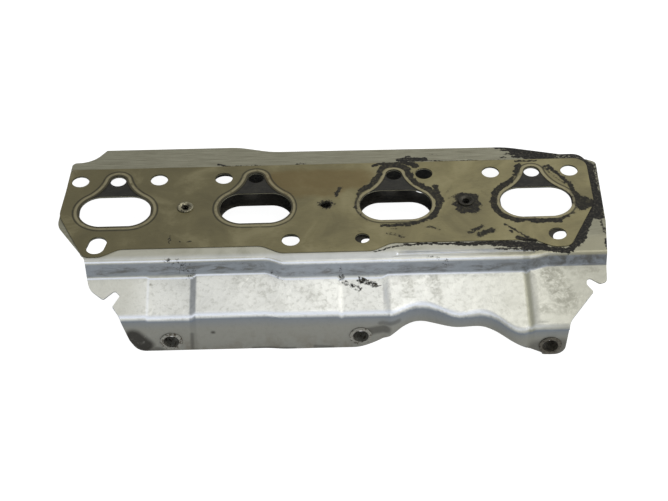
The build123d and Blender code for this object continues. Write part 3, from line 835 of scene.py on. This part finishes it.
def makeDarkSheet(name, colours, settings):
    material, tree, shader, place = newMaterial(name)
    cloud = noise(tree, place, *settings["cloudNoise"])
    grain = noise(tree, stretched(tree, place, *settings["grainStretch"]), *settings["grainNoise"])
    colour = blend(tree, rampUp(tree, cloud, *settings["cloudSpan"]), colours["base"], colours["soot"])
    worn = times(tree, rampUp(tree, grain, *settings["grainSpan"]), settings["grainShare"])
    colour = blend(tree, worn, colour, colours["pale"])
    roughness = mixValue(tree, cloud, *settings["roughness"])
    height = plus(tree, cloud, times(tree, grain, settings["grainHeight"]))
    finishMaterial(tree, shader, colour, roughness, height, settings["bumpStrength"], settings["metallic"])
    return material


# Rivets and eyelets: dull plated steel, grimy where it is flared
fastenings = {
    "rivet": {
        "base": tint(128, 122, 98), "pale": tint(170, 165, 140), "grime": tint(46, 43, 34), "metallic": 0.6,
    },
    "dullEyelet": {
        "base": tint(84, 79, 68), "pale": tint(112, 108, 96), "grime": tint(48, 43, 35), "metallic": 0.5,
    },
    "eyelet": {
        "base": tint(140, 138, 128), "pale": tint(176, 175, 166), "grime": tint(70, 60, 45), "metallic": 0.6,
    },
}
fasteningLook = {
    "grimeNoise": (0.5, 4.0, 0.7, 0.4),
    "fineNoise": (2.4, 3.0, 0.6),
    "fineSpan": (0.45, 0.65),
    "sootShare": 0.4,
    "grimeSpan": (0.5, 0.62),
    "roughness": (0.25, 0.65),
    "bumpStrength": 0.3,
}


def makeFastening(name, colours, settings):
    material, tree, shader, place = newMaterial(name)
    grime = noise(tree, place, *settings["grimeNoise"])
    fine = noise(tree, place, *settings["fineNoise"])
    colour = blend(tree, rampUp(tree, fine, *settings["fineSpan"]), colours["base"], colours["pale"])
    haze = useGroup(tree, sootGroup, {"Place": place}).outputs["Haze"]
    grimy = plus(tree, grime, times(tree, haze, settings["sootShare"]))
    colour = blend(tree, rampUp(tree, grimy, *settings["grimeSpan"]), colour, colours["grime"])
    roughness = mixValue(tree, grime, *settings["roughness"])
    height = plus(tree, grime, fine)
    finishMaterial(tree, shader, colour, roughness, height, settings["bumpStrength"], colours["metallic"])
    return material


pieceMaterials = {
    "upper_layer": (makeOlive(olive), "upper_steel"),
    "shield_plate": (makePlate(plate), "shield_steel"),
    "spacer_layer": (makeDarkSheet("spacerSteel", darkSheets["spacer"], darkLook), "spacer_steel"),
    "lower_layer": (makeDarkSheet("lowerSteel", darkSheets["lower"], darkLook), "lower_steel"),
}
rivetMaterial = makeFastening("rivetSteel", fastenings["rivet"], fasteningLook)
eyeletMaterial = makeFastening("eyeletSteel", fastenings["eyelet"], fasteningLook)
dullEyeletMaterial = makeFastening("dullEyeletSteel", fastenings["dullEyelet"], fasteningLook)
for node in ("rivet_left", "rivet_right"):
    pieceMaterials[node] = (rivetMaterial, "rivet_steel")
for node in ("eyelet_left", "eyelet_middle"):
    pieceMaterials[node] = (eyeletMaterial, "eyelet_steel")
pieceMaterials["eyelet_right"] = (dullEyeletMaterial, "eyelet_steel")
print("materials made")


# Each piece is a copy of its CAD solid, joined up and shaded smooth over its bends
dressing = {"joinDistance": 0.000002, "smoothAngle": 32, "faceWeight": 100}


def dressPiece(node, material):
    source = frame["nodes"][node]
    bpy.ops.object.select_all(action="DESELECT")
    source.select_set(True)
    bpy.context.view_layer.objects.active = source
    bpy.ops.object.duplicate()
    piece = bpy.context.object
    piece.name = node + "_dressed"
    for key in list(piece.keys()):
        del piece[key]
    piece.parent = None
    bpy.ops.object.mode_set(mode="EDIT")
    bpy.ops.mesh.select_all(action="SELECT")
    bpy.ops.mesh.remove_doubles(threshold=dressing["joinDistance"])
    bpy.ops.object.mode_set(mode="OBJECT")
    bpy.ops.object.shade_smooth_by_angle(angle=math.radians(dressing["smoothAngle"]))
    bpy.ops.object.modifier_add(type="WEIGHTED_NORMAL")
    weighting = piece.modifiers[-1]
    weighting.weight = dressing["faceWeight"]
    weighting.keep_sharp = True
    bpy.ops.object.modifier_apply(modifier=weighting.name)
    piece.data.materials.clear()
    piece.data.materials.append(material)
    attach(piece, "root")
    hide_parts(node)
    return piece


for node, (material, slotName) in pieceMaterials.items():
    dressPiece(node, material)
print("pieces dressed")


# Floor, backdrop and soft studio light
studio = {
    "floorSize": 12.0,
    "floorDrop": 0.0002,
    "floorColour": (0.86, 0.86, 0.86, 1.0),
    "cameraGlow": 0.96,
    "cameraAlbedo": 0.24,
    "worldColour": (0.80, 0.83, 0.88, 1.0),
    "worldStrength": 0.35,
    "lamps": [
        ("keyLamp", (0.62, 0.62, 1.3), 1.1, 15.0, (1.0, 0.99, 0.97)),
        ("sideLamp", (1.25, -0.35, 0.8), 0.9, 5.0, (1.0, 0.99, 0.98)),
        ("frontLamp", (-0.5, -1.3, 1.1), 0.9, 6.5, (0.93, 0.96, 1.0)),
    ],
}


def makeFloor(settings):
    bpy.ops.mesh.primitive_plane_add(size=settings["floorSize"], location=(0, 0, -settings["floorDrop"]))
    floor = bpy.context.object
    floor.name = "floor"
    material = bpy.data.materials.new("floorPaper")
    material.use_nodes = True
    tree = material.node_tree
    tree.nodes.remove(tree.nodes["Principled BSDF"])
    output = tree.nodes["Material Output"]
    plain = putNode(tree, "ShaderNodeBsdfDiffuse", inputs={"Color": settings["floorColour"]})
    seen = putNode(tree, "ShaderNodeBsdfDiffuse", inputs={"Color": (settings["cameraAlbedo"],) * 3 + (1.0,)})
    glow = putNode(
        tree, "ShaderNodeEmission", inputs={"Color": (1, 1, 1, 1), "Strength": settings["cameraGlow"]}
    )
    bright = putNode(tree, "ShaderNodeAddShader", inputs={0: seen.outputs[0], 1: glow.outputs[0]})
    path = putNode(tree, "ShaderNodeLightPath")
    mixer = putNode(
        tree,
        "ShaderNodeMixShader",
        inputs={0: path.outputs["Is Camera Ray"], 1: plain.outputs[0], 2: bright.outputs[0]},
    )
    tree.links.new(mixer.outputs[0], output.inputs["Surface"])
    floor.data.materials.append(material)


def makeLight(settings):
    world = bpy.data.worlds.new("studioWorld")
    scene.world = world
    world.use_nodes = True
    background = world.node_tree.nodes["Background"]
    background.inputs["Color"].default_value = settings["worldColour"]
    background.inputs["Strength"].default_value = settings["worldStrength"]
    for name, place, size, power, colour in settings["lamps"]:
        direction = Vector((0, 0, 0)) - Vector(place)
        turn = direction.to_track_quat("-Z", "Y").to_euler()
        bpy.ops.object.light_add(type="AREA", location=place, rotation=turn)
        lamp = bpy.context.object
        lamp.name = name
        lamp.data.shape = "SQUARE"
        lamp.data.size = size
        lamp.data.energy = power
        lamp.data.color = colour


makeFloor(studio)
makeLight(studio)
scene.view_settings.view_transform = "Standard"
scene.view_settings.look = "None"
print("studio made")
